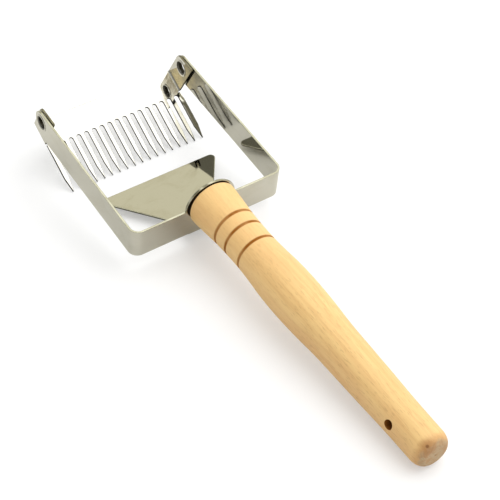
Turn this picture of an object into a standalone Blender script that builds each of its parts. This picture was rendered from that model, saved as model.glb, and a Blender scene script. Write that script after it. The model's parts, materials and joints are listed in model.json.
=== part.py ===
"""Uncapping fork: a polished sheet-steel frame with a hinged comb of tines on a turned wooden handle.

The steel pieces are flat blanks that are cut to their outline, holes included, and then folded.
Lengths are in millimetres in the head's own frame, and become metres as each mesh is made:
X runs across the frame, Y forward from the outer face of its back wall to the comb, and
Z up from the bottom edge of its arms. One empty stands the whole fork on a table.
"""
import math

import bmesh
import bpy
from mathutils import Matrix, Vector

MM = 0.001
ASSEMBLY = "uncapping_fork"

# Frame: a strap standing on edge, folded into a U, with a half-round lug on its back wall
SHEET = 1.2
FRAME_WIDTH = 90.0
STRAP_HEIGHT = 18.0
FRAME_BEND = 4.9
LUG_RADIUS = 14.6
ARM_NOSE = 6.2
ARM_CORNER = 6.4

# Hinge
PIVOT_Y = 96.1
PIVOT_Z = 11.2
PIVOT_BORE = 3.9
PLAY = 0.5
RIVET_SHANK = 3.83
RIVET_HOLE = 3.4
RIVET_MOUTH = 4.0
RIVET_FLANGE = 4.9
RIVET_FLANGE_THICKNESS = 0.3
RIVET_EDGE = 0.15
RIVET_FLARE = 0.2
CLEARANCE = 0.05
WASHER_RADIUS = 5.6
WASHER_THICKNESS = 0.3

# Comb: one plate with two ears folded up and pointed tines that run back towards the handle
COMB_TILT = math.radians(23.8)
COMB_DROP = 16.15
COMB_FRONT = 6.25
COMB_BEND = 1.4
TINES = 18
TINE_PITCH = 4.8
TINE_WIDTH = 2.2
END_TINE_MIDDLE = 41.2
END_TINE_WIDTH = 2.7
SLOT_ROOT = 8.7
TINE_SHOULDER = 29.0
TINE_TIP = 37.1
TIP_WIDTH = 0.3
EAR_BACK = 7.0
EAR_TOP_ABOVE_RIM = 0.2
EAR_NOSE_RISE = 2.2
EAR_NOSE_BACK = 3.0
EAR_NOSE_BULGE = 3.4
EAR_CHAMFER = 0.9
RELIEF = 0.8
RELIEF_INSET = 0.1

# Guide plate: a flat apron below the frame and a tab folded up behind the lug
GUIDE_FRONT_Y = 50.2
GUIDE_FRONT_Z = -11.1
GUIDE_TILT = math.radians(10.0)
GUIDE_HALF_WIDTH = 37.1
GUIDE_CORNER = 2.6
GUIDE_CUT = math.radians(34.4)
GUIDE_NECK = 11.0
GUIDE_BEND = 2.1
TAB_GAP = 0.15

# Handle, measured along its own axis from its front face
HANDLE_TILT = math.radians(4.0)
HANDLE_Z = 18.6
HANDLE_START = 1.25
HANDLE_RADII = ((0.8, 13.35), (7.0, 12.95), (13.0, 12.45), (19.0, 11.95), (29.4, 11.5), (40.9, 11.45),
                (50.0, 11.85), (59.0, 12.5), (68.0, 12.8), (78.0, 12.75), (90.0, 12.25), (105.0, 11.3),
                (121.0, 10.85), (138.0, 10.4), (150.0, 10.0), (160.0, 9.8), (173.3, 9.7))
HANDLE_LENGTH = 179.8
HANDLE_FRONT_CHAMFER = 0.8
HANDLE_END_ROUND = 6.5
HANDLE_END_FACE = 5.5
GROOVES = (20.9, 29.4, 40.9)
GROOVE_DEPTH = 0.55
GROOVE_HALF_WIDTH = 0.75
GROOVE_FLOOR_HALF = 0.3
HANG_HOLE_AT = 157.5
HANG_HOLE_RADIUS = 2.4
HANG_HOLE_TURN = math.radians(18.0)
PILOT_RADIUS = 2.3
PILOT_DEPTH = 44.0
PILOT_POINT = 1.5

# Handle screw and its washer
SCREW_RADIUS = 2.0
SCREW_LENGTH = 46.0
SCREW_POINT = 5.0
SCREW_TIP_RADIUS = 0.25
SCREW_HEAD_RADIUS = 4.6
SCREW_HEAD_HEIGHT = 2.8
SCREW_HEAD_EDGE = 1.0
SCREW_CLEARANCE = 2.7
SCREW_STANDOFF = 2.95
LOCK_WASHER_RADIUS = 5.2
LOCK_WASHER_HOLE = 2.25
LOCK_WASHER_THICKNESS = 0.8
RECESS_WIDTH = 1.1
RECESS_LENGTH = 4.8
RECESS_DEPTH = 1.4

ARC_STEPS = 10
TURN_STEPS = 48
DRILL_STEPS = 24
FRAME_MID = (FRAME_WIDTH - SHEET) / 2
EAR_MID = FRAME_MID - SHEET - PLAY


def clear_scene():
    """Remove every object, mesh, curve and collection that the file starts with."""
    for item in list(bpy.data.objects):
        bpy.data.objects.remove(item, do_unlink=True)
    for group in list(bpy.data.collections):
        bpy.data.collections.remove(group)


def make_collection(name):
    group = bpy.data.collections.new(name)
    bpy.context.scene.collection.children.link(group)
    return group


def make_material(name, colour, roughness, metallic):
    material = bpy.data.materials.new(name)
    material.use_nodes = True
    shader = material.node_tree.nodes["Principled BSDF"]
    shader.inputs["Base Color"].default_value = (*colour, 1.0)
    shader.inputs["Roughness"].default_value = roughness
    shader.inputs["Metallic"].default_value = metallic
    return material


def arc(centre, radius, start, end, steps=ARC_STEPS):
    """Points along an arc, both ends included; angles in degrees, counter-clockwise positive."""
    points = []
    for step in range(steps + 1):
        angle = math.radians(start + (end - start) * step / steps)
        points.append((centre[0] + radius * math.cos(angle), centre[1] + radius * math.sin(angle)))
    return points


def circle(centre, radius, steps=TURN_STEPS):
    return arc(centre, radius, 0.0, 360.0, steps)[:-1]


def quadratic(start, control, end, steps):
    """Points along a quadratic curve, both ends included."""
    points = []
    for step in range(steps + 1):
        t = step / steps
        points.append(tuple((1 - t) ** 2 * a + 2 * t * (1 - t) * b + t ** 2 * c
                            for a, b, c in zip(start, control, end)))
    return points


def mirrored(right_half):
    """A whole outline from its right half, which starts and ends near the middle line."""
    return right_half + [(-x, y) for x, y in reversed(right_half)]


def cut_blank(loops, thickness=SHEET):
    """A flat sheet in the XY plane, centred on z = 0, with the first loop outside and the rest as holes."""
    curve = bpy.data.curves.new("blank", "CURVE")
    curve.dimensions = "2D"
    curve.fill_mode = "BOTH"
    curve.extrude = thickness / 2 * MM
    for loop in loops:
        spline = curve.splines.new("POLY")
        spline.points.add(len(loop) - 1)
        for point, (x, y) in zip(spline.points, loop):
            point.co = (x * MM, y * MM, 0.0, 1.0)
        spline.use_cyclic_u = True
    holder = bpy.data.objects.new("blank", curve)
    bpy.context.scene.collection.objects.link(holder)
    bpy.context.view_layer.update()
    evaluated = holder.evaluated_get(bpy.context.evaluated_depsgraph_get())
    mesh = bpy.data.meshes.new_from_object(evaluated)
    bpy.data.objects.remove(holder, do_unlink=True)
    sheet = bmesh.new()
    sheet.from_mesh(mesh)
    bpy.data.meshes.remove(mesh)
    bmesh.ops.remove_doubles(sheet, verts=sheet.verts, dist=0.00001)
    return sheet


def fold(sheet, along, side, start, radius, angle, applies=None, steps=ARC_STEPS):
    """Bend the sheet towards +z, beyond start on one side of it.

    along is the axis that bends, 0 for x and 1 for y, and side is +1 or -1 along it.
    radius is the bend's at mid thickness, and angle is in radians. applies picks the vertices.
    """
    start, radius = start * MM, radius * MM
    length = radius * angle
    normal = Vector((0.0, 0.0, 0.0))
    normal[along] = side
    for step in range(steps + 1):
        place = normal * (start + length * step / steps)
        geometry = sheet.verts[:] + sheet.edges[:] + sheet.faces[:]
        bmesh.ops.bisect_plane(sheet, geom=geometry, dist=1e-7, plane_co=place, plane_no=normal)
    for vertex in sheet.verts:
        reach = vertex.co[along] * side - start
        if reach <= 0 or (applies and not applies(vertex.co)):
            continue
        turned = min(reach / radius, angle)
        straight = max(reach - length, 0.0)
        lever = radius - vertex.co.z
        vertex.co[along] = side * (start + lever * math.sin(turned) + straight * math.cos(turned))
        vertex.co.z = radius - lever * math.cos(turned) + straight * math.sin(turned)


def add_part(name, sheet, material, group, parent, location=(0.0, 0.0, 0.0), rotation=(0.0, 0.0, 0.0)):
    """Turn an edited mesh into a placed object under its parent."""
    bmesh.ops.recalc_face_normals(sheet, faces=sheet.faces)
    mesh = bpy.data.meshes.new(name)
    sheet.to_mesh(mesh)
    sheet.free()
    part = bpy.data.objects.new(name, mesh)
    part.data.materials.append(material)
    group.objects.link(part)
    part.parent = parent
    part.location = Vector(location) * MM
    part.rotation_euler = rotation
    return part


def add_turned(name, profile, closed, material, group, parent, location, rotation):
    """A turned piece: profile points are (radius, height) and the local Z axis is the lathe's."""
    outline = bmesh.new()
    points = [outline.verts.new((radius * MM, 0.0, height * MM)) for radius, height in profile]
    for first, second in zip(points, points[1:]):
        outline.edges.new((first, second))
    if closed:
        outline.edges.new((points[-1], points[0]))
    mesh = bpy.data.meshes.new(name)
    outline.to_mesh(mesh)
    outline.free()
    part = bpy.data.objects.new(name, mesh)
    part.data.materials.append(material)
    group.objects.link(part)
    part.parent = parent
    part.location = Vector(location) * MM
    part.rotation_euler = rotation
    turn = part.modifiers.new("turn", "SCREW")
    turn.axis = "Z"
    turn.steps = TURN_STEPS
    turn.render_steps = TURN_STEPS
    turn.use_merge_vertices = True
    turn.merge_threshold = 0.00001
    return part


def cut(part, tool):
    tool.display_type = "WIRE"
    tool.hide_render = True
    boolean = part.modifiers.new(tool.name, "BOOLEAN")
    boolean.operation = "DIFFERENCE"
    boolean.solver = "EXACT"
    boolean.object = tool


def make_frame_strap(steel, group, head):
    bend_start = FRAME_WIDTH / 2 - SHEET / 2 - FRAME_BEND
    bend_length = FRAME_BEND * math.pi / 2
    arm_from_wall = bend_start + bend_length - FRAME_BEND - SHEET / 2
    pivot = arm_from_wall + PIVOT_Y
    nose = pivot + ARM_NOSE
    right_half = arc((0.0, STRAP_HEIGHT), LUG_RADIUS, 90.0, 0.0, 16)[1:]
    right_half += arc((nose - ARM_CORNER, STRAP_HEIGHT - ARM_CORNER), ARM_CORNER, 90.0, 0.0)
    right_half += arc((nose - ARM_CORNER, ARM_CORNER), ARM_CORNER, 0.0, -90.0)
    outline = [(0.0, STRAP_HEIGHT + LUG_RADIUS)] + mirrored(right_half)
    holes = [circle((0.0, HANDLE_Z), SCREW_CLEARANCE, DRILL_STEPS)]
    holes += [circle((side * pivot, PIVOT_Z), PIVOT_BORE) for side in (-1, 1)]
    sheet = cut_blank([outline] + holes)
    for side in (-1, 1):
        fold(sheet, 0, side, bend_start, FRAME_BEND, math.pi / 2)
    # The blank stands up with its height along Z and its fold towards +Y.
    stand = Matrix(((-1, 0, 0), (0, 0, 1), (0, 1, 0)))
    bmesh.ops.transform(sheet, matrix=stand.to_4x4(), verts=sheet.verts)
    return add_part("frame_strap", sheet, steel, group, head, (0.0, SHEET / 2, 0.0))


def make_guide_plate(steel, group, head):
    tab_y = SHEET + TAB_GAP + SHEET / 2
    middle_y = GUIDE_FRONT_Y - math.sin(GUIDE_TILT) * SHEET / 2
    middle_z = GUIDE_FRONT_Z - math.cos(GUIDE_TILT) * SHEET / 2
    fold_angle = math.pi / 2 - GUIDE_TILT
    start_y = tab_y + GUIDE_BEND - GUIDE_BEND * math.sin(GUIDE_TILT)
    start_z = middle_z + (middle_y - start_y) * math.tan(GUIDE_TILT)
    length = (middle_y - start_y) / math.cos(GUIDE_TILT)
    bend_length = GUIDE_BEND * fold_angle
    tab_foot = start_z + GUIDE_BEND * math.cos(GUIDE_TILT)
    tab_middle = -(bend_length + HANDLE_Z - tab_foot)
    cut_back = (GUIDE_HALF_WIDTH - GUIDE_NECK) / math.tan(GUIDE_CUT)
    # The rounded front corner is the arc that touches both the front edge and the slanted side.
    corner_angle = 90.0 - math.degrees(GUIDE_CUT)
    corner_inset = GUIDE_CORNER / math.tan(math.radians(corner_angle) / 2)
    corner = (GUIDE_HALF_WIDTH - corner_inset, length - GUIDE_CORNER)
    right_half = arc(corner, GUIDE_CORNER, 90.0, -math.degrees(GUIDE_CUT))
    right_half += [(GUIDE_NECK, length - cut_back)]
    right_half += arc((0.0, tab_middle), GUIDE_NECK, 0.0, -90.0, 15)[:-1]
    sheet = cut_blank([mirrored(right_half), circle((0.0, tab_middle), SCREW_CLEARANCE, DRILL_STEPS)])
    fold(sheet, 1, -1, 0.0, GUIDE_BEND, fold_angle)
    place = (0.0, start_y, start_z)
    return add_part("guide_plate", sheet, steel, group, head, place, (-GUIDE_TILT, 0.0, 0.0))


def ear_top(back):
    """Height above the pivot, square to the comb's plate, of the ear's top edge: level with the rim."""
    rise = STRAP_HEIGHT + EAR_TOP_ABOVE_RIM - PIVOT_Z
    return (rise + math.sin(COMB_TILT) * back) / math.cos(COMB_TILT)


def tine_edges(middle, half):
    """The outline of one tine from its right root to its left root, going round its point."""
    return [(middle + half, -TINE_SHOULDER), (middle + TIP_WIDTH / 2, -TINE_TIP),
            (middle - TIP_WIDTH / 2, -TINE_TIP), (middle - half, -TINE_SHOULDER)]


def slot_root(left, right, end=180.0, steps=8):
    """The round root of the slot between two tine edges, from its right side to its left."""
    radius = (right - left) / 2
    return arc(((left + right) / 2, -(SLOT_ROOT + radius)), radius, 0.0, end, steps)


def make_tine_comb(steel, group, hinge):
    plate_z = -(COMB_DROP + SHEET / 2)
    bend_start = EAR_MID - COMB_BEND
    bend_length = COMB_BEND * math.pi / 2
    to_blank = bend_start + bend_length - COMB_BEND - plate_z
    front_corner = (to_blank + EAR_NOSE_RISE, COMB_FRONT)
    nose_control = (front_corner[0] + EAR_NOSE_BULGE, COMB_FRONT)
    nose_top = (to_blank + ear_top(-EAR_NOSE_BACK), EAR_NOSE_BACK)
    right_half = quadratic(front_corner, nose_control, nose_top, 7)
    right_half += [(to_blank + ear_top(EAR_BACK - EAR_CHAMFER), EAR_CHAMFER - EAR_BACK),
                   (to_blank + ear_top(EAR_BACK) - EAR_CHAMFER, -EAR_BACK)]
    relief_x = bend_start - RELIEF_INSET
    right_half += [(relief_x, -EAR_BACK), (relief_x, -EAR_BACK - RELIEF)]
    right_half += [(END_TINE_MIDDLE + END_TINE_WIDTH / 2, -EAR_BACK - RELIEF)]
    tines = [(END_TINE_MIDDLE, END_TINE_WIDTH / 2)]
    tines += [(TINE_PITCH * (number + 0.5), TINE_WIDTH / 2) for number in reversed(range(TINES // 2 - 1))]
    for (middle, half), (next_middle, next_half) in zip(tines, tines[1:]):
        right_half += tine_edges(middle, half) + slot_root(next_middle + next_half, middle - half)
    half_slot = (TINE_PITCH - TINE_WIDTH) / 2
    right_half += tine_edges(*tines[-1]) + slot_root(-half_slot, half_slot, 90.0, 4)
    outline = mirrored(right_half)
    outline.pop(len(right_half))
    holes = [circle((side * to_blank, 0.0), PIVOT_BORE) for side in (-1, 1)]
    sheet = cut_blank([outline] + holes)
    for side in (-1, 1):
        fold(sheet, 0, side, bend_start, COMB_BEND, math.pi / 2,
             lambda place: place.y > -(EAR_BACK + RELIEF / 2) * MM)
    bmesh.ops.translate(sheet, vec=(0.0, 0.0, plate_z * MM), verts=sheet.verts)
    return add_part("tine_comb", sheet, steel, group, hinge, rotation=(COMB_TILT, 0.0, 0.0))


def make_hinge_parts(steel, group, head):
    """A hollow rivet through each arm and ear, and a thin washer between them."""
    outer = SHEET / 2 + CLEARANCE
    inner = -(FRAME_MID - EAR_MID + SHEET / 2 + CLEARANCE)
    outer_face = outer + RIVET_FLANGE_THICKNESS
    inner_face = inner - RIVET_FLANGE_THICKNESS
    edge = RIVET_FLANGE - RIVET_EDGE
    rivet = [(edge, outer_face), (RIVET_FLANGE, outer_face - RIVET_EDGE), (RIVET_FLANGE, outer),
             (RIVET_SHANK, outer), (RIVET_SHANK, inner), (RIVET_FLANGE, inner),
             (RIVET_FLANGE, inner_face + RIVET_EDGE), (edge, inner_face), (RIVET_MOUTH, inner_face),
             (RIVET_HOLE, inner + RIVET_FLARE), (RIVET_HOLE, outer - RIVET_FLARE), (RIVET_MOUTH, outer_face)]
    half = WASHER_THICKNESS / 2
    washer = [(WASHER_RADIUS, half), (WASHER_RADIUS, -half), (PIVOT_BORE, -half), (PIVOT_BORE, half)]
    for name, side in (("left", -1), ("right", 1)):
        turn = (0.0, side * math.pi / 2, 0.0)
        place = (side * FRAME_MID, PIVOT_Y, PIVOT_Z)
        add_turned("pivot_rivet_" + name, rivet, True, steel, group, head, place, turn)
        place = (side * (FRAME_MID - SHEET / 2 - PLAY / 2), PIVOT_Y, PIVOT_Z)
        add_turned("pivot_washer_" + name, washer, True, steel, group, head, place, turn)


def handle_radius(place):
    """Radius of the wood at a place along it: a smooth curve through HANDLE_RADII."""
    points = HANDLE_RADII
    place = min(max(place, points[0][0]), points[-1][0])
    index = next(i for i in range(len(points) - 1) if place <= points[i + 1][0])

    def slope(i):
        low, high = max(i - 1, 0), min(i + 1, len(points) - 1)
        return (points[high][1] - points[low][1]) / (points[high][0] - points[low][0])

    (x0, r0), (x1, r1) = points[index], points[index + 1]
    width = x1 - x0
    t = (place - x0) / width
    rise = (2 * t ** 3 - 3 * t ** 2 + 1) * r0 + (3 * t ** 2 - 2 * t ** 3) * r1
    return rise + width * ((t ** 3 - 2 * t ** 2 + t) * slope(index) + (t ** 3 - t ** 2) * slope(index + 1))


def handle_profile():
    """The turned outline from the middle of the end face, down the outside, and up the pilot bore."""
    round_start = HANDLE_LENGTH - HANDLE_END_ROUND
    shoulder = (handle_radius(round_start) - HANDLE_END_FACE) / HANDLE_END_ROUND
    outside = [(0.0, HANDLE_LENGTH)]
    outside += [(HANDLE_END_FACE + rise * shoulder, round_start + along)
                for rise, along in arc((0.0, 0.0), HANDLE_END_ROUND, 90.0, 0.0, 8)]
    places = [160.0, 150.0, 144.0, 138.0, 130.0, 121.0, 113.0, 105.0, 97.0, 90.0, 84.0, 78.0, 73.0, 68.0,
              63.0, 59.0, 54.0, 50.0, 46.0, 35.0, 25.0, 16.0, 12.0, 7.0, 3.5, HANDLE_FRONT_CHAMFER]
    grooves = []
    for groove in GROOVES:
        grooves += [(groove + GROOVE_HALF_WIDTH, 0.0), (groove + GROOVE_FLOOR_HALF, GROOVE_DEPTH),
                    (groove - GROOVE_FLOOR_HALF, GROOVE_DEPTH), (groove - GROOVE_HALF_WIDTH, 0.0)]
    side = [(place, 0.0) for place in places] + grooves
    side.sort(reverse=True)
    outside += [(handle_radius(place) - depth, place) for place, depth in side]
    outside += [(handle_radius(0.0) - HANDLE_FRONT_CHAMFER, 0.0)]
    return outside + [(PILOT_RADIUS, 0.0), (PILOT_RADIUS, PILOT_DEPTH), (0.0, PILOT_DEPTH + PILOT_POINT)]


def make_handle(wood, group, tools, head):
    turn = (math.pi / 2 - HANDLE_TILT, 0.0, 0.0)
    place = (0.0, -HANDLE_START * math.cos(HANDLE_TILT), HANDLE_Z + HANDLE_START * math.sin(HANDLE_TILT))
    handle = add_turned("wooden_handle", handle_profile(), False, wood, group, head, place, turn)
    drill = bmesh.new()
    radius, depth = HANG_HOLE_RADIUS * MM, 3 * handle_radius(HANG_HOLE_AT) * MM
    bmesh.ops.create_cone(drill, cap_ends=True, segments=DRILL_STEPS, radius1=radius, radius2=radius,
                          depth=depth)
    tilt = Matrix.Rotation(-HANG_HOLE_TURN, 4, "Z") @ Matrix.Rotation(math.pi / 2, 4, "Y")
    bmesh.ops.transform(drill, matrix=tilt, verts=drill.verts)
    tool = add_part("hang_hole_drill", drill, wood, tools, handle, (0.0, 0.0, HANG_HOLE_AT))
    cut(handle, tool)


def make_handle_screw(steel, group, tools, head):
    """A pan-head wood screw from inside the frame, through tab and lug, with a washer under its head."""
    turn = (math.pi / 2 - HANDLE_TILT, 0.0, 0.0)
    direction = Vector((0.0, -math.cos(HANDLE_TILT), math.sin(HANDLE_TILT)))
    washer_place = Vector((0.0, 0.0, HANDLE_Z)) - direction * (SCREW_STANDOFF + LOCK_WASHER_THICKNESS / 2)
    half = LOCK_WASHER_THICKNESS / 2
    ring = [(LOCK_WASHER_RADIUS, half), (LOCK_WASHER_RADIUS, -half), (LOCK_WASHER_HOLE, -half),
            (LOCK_WASHER_HOLE, half)]
    add_turned("screw_washer", ring, True, steel, group, head, washer_place, turn)
    seat = Vector((0.0, 0.0, HANDLE_Z)) - direction * (SCREW_STANDOFF + LOCK_WASHER_THICKNESS + CLEARANCE)
    rise = SCREW_HEAD_HEIGHT - SCREW_HEAD_EDGE
    dome = [(radius, -SCREW_HEAD_EDGE - height * rise / SCREW_HEAD_RADIUS)
            for radius, height in arc((0.0, 0.0), SCREW_HEAD_RADIUS, 0.0, 90.0, 5)[:-1]]
    profile = [(0.0, SCREW_LENGTH), (SCREW_TIP_RADIUS, SCREW_LENGTH - SCREW_TIP_RADIUS),
               (SCREW_RADIUS, SCREW_LENGTH - SCREW_POINT), (SCREW_RADIUS, 0.0), (SCREW_HEAD_RADIUS, 0.0)]
    profile += dome + [(0.0, -SCREW_HEAD_HEIGHT)]
    screw = add_turned("handle_screw", profile, False, steel, group, head, seat, turn)
    top = (0.0, 0.0, -SCREW_HEAD_HEIGHT)
    for name, width, length in (("recess_slot", RECESS_WIDTH, RECESS_LENGTH),
                                ("recess_cross_slot", RECESS_LENGTH, RECESS_WIDTH)):
        bar = bmesh.new()
        bmesh.ops.create_cube(bar, size=1.0)
        bmesh.ops.scale(bar, vec=(width * MM, length * MM, 2 * RECESS_DEPTH * MM), verts=bar.verts)
        cut(screw, add_part(name, bar, steel, tools, screw, top))


def world_points(group):
    """Every corner of every finished part, in world coordinates."""
    bpy.context.view_layer.update()
    graph = bpy.context.evaluated_depsgraph_get()
    points = []
    for part in group.objects:
        if part.type == "MESH":
            evaluated = part.evaluated_get(graph)
            points += [part.matrix_world @ vertex.co for vertex in evaluated.data.vertices]
    return points


def stand_on_table(group, head):
    """Tip the fork until tines and handle end touch the table, and centre it above the origin."""
    points = world_points(group)
    tip = min(points, key=lambda point: point.z)
    behind = [point for point in points if point.y < 0]
    head.rotation_euler.x = min(math.atan2(point.z - tip.z, tip.y - point.y) for point in behind)
    points = world_points(group)
    for axis in (0, 1):
        values = [point[axis] for point in points]
        head.location[axis] = -(min(values) + max(values)) / 2
    head.location.z = -min(point.z for point in points)


def build():
    clear_scene()
    group = make_collection(ASSEMBLY)
    tools = make_collection("cutters")
    steel = make_material("polished_steel", (0.72, 0.71, 0.66), 0.12, 1.0)
    fastener = make_material("fastener_steel", (0.60, 0.60, 0.57), 0.25, 1.0)
    wood = make_material("beech_wood", (0.80, 0.56, 0.30), 0.50, 0.0)
    head = bpy.data.objects.new("head_frame", None)
    hinge = bpy.data.objects.new("comb_hinge_axis", None)
    for empty in (head, hinge):
        group.objects.link(empty)
    hinge.parent = head
    hinge.location = (0.0, PIVOT_Y * MM, PIVOT_Z * MM)
    make_frame_strap(steel, group, head)
    make_guide_plate(steel, group, head)
    make_tine_comb(steel, group, hinge)
    make_hinge_parts(fastener, group, head)
    make_handle(wood, group, tools, head)
    make_handle_screw(fastener, group, tools, head)
    stand_on_table(group, head)
    bpy.context.view_layer.update()


build()
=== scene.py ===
"""Looks of the uncapping fork: a polished sheet-steel head with a hinged comb, on a turned beech handle.

Lengths are in millimetres in the head's own frame, as in the solids: X across the frame, Y forward
from the outer face of its back wall, Z up from the bottom edge of its arms. HEAD places them.
"""

import json
import math

import bmesh
import bpy
from mathutils import Euler, Matrix, Vector


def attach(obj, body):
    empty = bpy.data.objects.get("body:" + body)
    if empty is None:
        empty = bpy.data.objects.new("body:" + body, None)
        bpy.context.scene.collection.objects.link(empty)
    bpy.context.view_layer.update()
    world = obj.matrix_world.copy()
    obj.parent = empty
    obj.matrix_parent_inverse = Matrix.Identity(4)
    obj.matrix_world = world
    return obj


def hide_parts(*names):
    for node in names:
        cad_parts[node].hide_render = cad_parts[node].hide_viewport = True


MM = 0.001

# Folded sheet: the frame's strap
SHEET = 1.2
FRAME_WIDTH = 90.0
STRAP_HEIGHT = 18.0
FRAME_BEND = 4.9
LUG_RADIUS = 14.6
ARM_NOSE = 6.2
ARM_CORNER = 6.4
STRAP_EASING = 0.2
PIVOT_Y = 96.1
PIVOT_Z = 11.2
PIVOT_BORE = 3.9
PLAY = 0.5

# The tine comb, measured from the pivot
COMB_TILT = math.radians(23.8)
COMB_DROP = 16.15
COMB_FRONT = 6.25
COMB_BEND = 1.4
TINES = 18
TINE_PITCH = 4.8
TINE_WIDTH = 2.2
END_TINE_MIDDLE = 41.2
END_TINE_WIDTH = 2.7
END_TINE_ROLL = math.radians(9.0)
END_TINE_ROLL_LENGTH = 6.0
END_TINE_CUTS = range(10, 30, 2)
SLOT_ROOT = 8.7
TINE_SHOULDER = 29.0
TINE_TIP = 37.1
TIP_WIDTH = 0.3
EAR_BACK = 7.0
EAR_TOP_ABOVE_RIM = 0.2
EAR_NOSE_RISE = 2.2
EAR_NOSE_BACK = 3.0
EAR_NOSE_BULGE = 3.4
EAR_CHAMFER = 0.9
RELIEF = 0.8
RELIEF_INSET = 0.1
COMB_EASING = 0.14

# The guide plate
GUIDE_FRONT_Y = 50.2
GUIDE_FRONT_Z = -11.1
GUIDE_TILT = math.radians(10.0)
GUIDE_HALF_WIDTH = 37.1
GUIDE_CORNER = 2.6
GUIDE_CUT = math.radians(34.4)
GUIDE_NECK = 11.0
GUIDE_BEND = 2.1
GUIDE_EASING = 0.35
TAB_GAP = 0.15

# Fasteners
RIVET_SHANK = 3.83
RIVET_HOLE = 3.4
RIVET_MOUTH = 4.0
RIVET_FLANGE = 4.9
RIVET_FLANGE_THICKNESS = 0.14
RIVET_ROLL = 0.25
RIVET_EASING = 0.13
WASHER_RADIUS = 5.6
WASHER_THICKNESS = 0.3
WASHER_EASING = 0.08
CLEARANCE = 0.05
SCREW_RADIUS = 2.0
SCREW_CORE = 1.35
SCREW_THREAD_PITCH = 1.8
SCREW_LENGTH = 46.0
SCREW_POINT = 5.0
SCREW_TIP_RADIUS = 0.25
SCREW_TIP_LENGTH = 0.5
THREAD_START = 9.0
THREAD_SHORT_OF_TIP = 1.2
THREAD_FOOT = 0.2
THREAD_HALF_WIDTH = 0.35
THREAD_STEPS_PER_TURN = 24
SCREW_HEAD_RADIUS = 4.6
SCREW_HEAD_HEIGHT = 2.8
SCREW_HEAD_EDGE = 1.0
SCREW_CLEARANCE = 2.7
SCREW_STANDOFF = 2.95
LOCK_WASHER_RADIUS = 5.2
LOCK_WASHER_HOLE = 2.25
LOCK_WASHER_THICKNESS = 0.8
LOCK_WASHER_EASING = 0.15
RECESS_WIDTH = 1.1
RECESS_LENGTH = 4.8
RECESS_DEPTH = 1.4
RECESS_NARROWING = 0.55

# Handle, measured along its own axis from its front face
HANDLE_TILT = math.radians(4.0)
HANDLE_Z = 18.6
HANDLE_START = 1.25
HANDLE_RADII = ((0.8, 13.35), (7.0, 12.95), (13.0, 12.45), (19.0, 11.95), (29.4, 11.5), (40.9, 11.45),
                (50.0, 11.85), (59.0, 12.5), (68.0, 12.8), (78.0, 12.75), (90.0, 12.25), (105.0, 11.3),
                (121.0, 10.85), (138.0, 10.4), (150.0, 10.0), (160.0, 9.8), (173.3, 9.7))
HANDLE_LENGTH = 179.8
HANDLE_END_ROUND = 6.5
HANDLE_END_FACE = 5.5
GROOVES = (20.9, 29.4, 40.9)
GROOVE_DEPTH = 0.55
GROOVE_HALF_WIDTH = 0.75
GROOVE_MARGIN = 0.25
GROOVE_LIP = 0.12
SIDE_SPACING = 1.4
# Pairs of radius and depth below the end face, and of inset from the side and place along the handle
CENTRE_MARK = ((0.0, 0.7), (0.35, 0.35), (0.75, 0.02), (1.1, 0.0), (3.0, 0.0))
FRONT_EDGE = ((0.05, 0.5), (0.3, 0.15), (0.8, 0.0))
HANG_HOLE_AT = 157.5
HANG_HOLE_RADIUS = 2.4
HANG_HOLE_TURN = math.radians(18.0)
HANG_HOLE_EASING = 0.22
DRILL_LENGTH = 30.0
PILOT_RADIUS = 2.3
PILOT_DEPTH = 44.0
PILOT_POINT = 1.5
# Marks in the wood
KNOT = (-4.16, 7.5, 177.73)
PITH = (0.0, 4.0, 0.0)
LINE_SPACING = 3.1
YEAR_SPACING = 1.1

# The middle of the sheet in the right arm and in the right ear
FRAME_MID = (FRAME_WIDTH - SHEET) / 2
EAR_MID = FRAME_MID - SHEET - PLAY

# How finely shapes are made
ARC_STEPS = 24
TURN_STEPS = 96
HOLE_STEPS = 48
LUG_STEPS = 40
HANDLE_STEPS = 144
SCREW_STEPS = 64
EASING_STEPS = 3
UV_PER_MM = 0.01
MERGE_DISTANCE = 2e-6
CUT_TOLERANCE = 1e-7
SHARP_FOLD = math.radians(18)
SHARP_MOUTH = math.radians(40)
FLAT_ENOUGH = 0.95
UPRIGHT_ENOUGH = 0.3

STEEL = (0.645, 0.635, 0.60)

# The camera, in the head's own frame
CAMERA_PLACE = (-276.41, -373.976, 550.698)
CAMERA_TURN = tuple(math.radians(angle) for angle in (39.1114, -4.6746, -33.5594))
CAMERA_SENSOR = 36.0
CAMERA_LENS = 100.54

# The studio, in metres in the fork's own frame
FLOOR_RADIUS = 6.0
FLOOR_GAP = 0.0001
SOFTBOX_PLACE = (0.5, -0.2, 1.3)
SOFTBOX_SIZE = 1.6
SOFTBOX_POWER = 9.0

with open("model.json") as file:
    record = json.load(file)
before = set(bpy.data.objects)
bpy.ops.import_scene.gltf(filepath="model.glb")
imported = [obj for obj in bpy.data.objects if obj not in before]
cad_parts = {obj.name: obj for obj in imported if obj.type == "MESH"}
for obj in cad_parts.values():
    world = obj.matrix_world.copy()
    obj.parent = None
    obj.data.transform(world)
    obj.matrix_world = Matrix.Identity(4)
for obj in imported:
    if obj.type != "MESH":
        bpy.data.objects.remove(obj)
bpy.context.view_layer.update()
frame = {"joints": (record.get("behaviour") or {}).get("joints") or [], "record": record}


def head_placement():
    """The head frame's place in the row frame, from the hinge and the comb's flat top in the record."""
    pivot = Vector(frame["joints"][0]["pos_m"])
    comb_up = next(m["axis"] for m in frame["record"]["mounts"] if m["name"] == "comb_top")
    tilt = math.atan2(-comb_up[1], comb_up[2]) - COMB_TILT
    back_to_wall = Matrix.Translation((0.0, -PIVOT_Y * MM, -PIVOT_Z * MM))
    return Matrix.Translation(pivot) @ Matrix.Rotation(tilt, 4, "X") @ back_to_wall


HEAD = head_placement()


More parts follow.
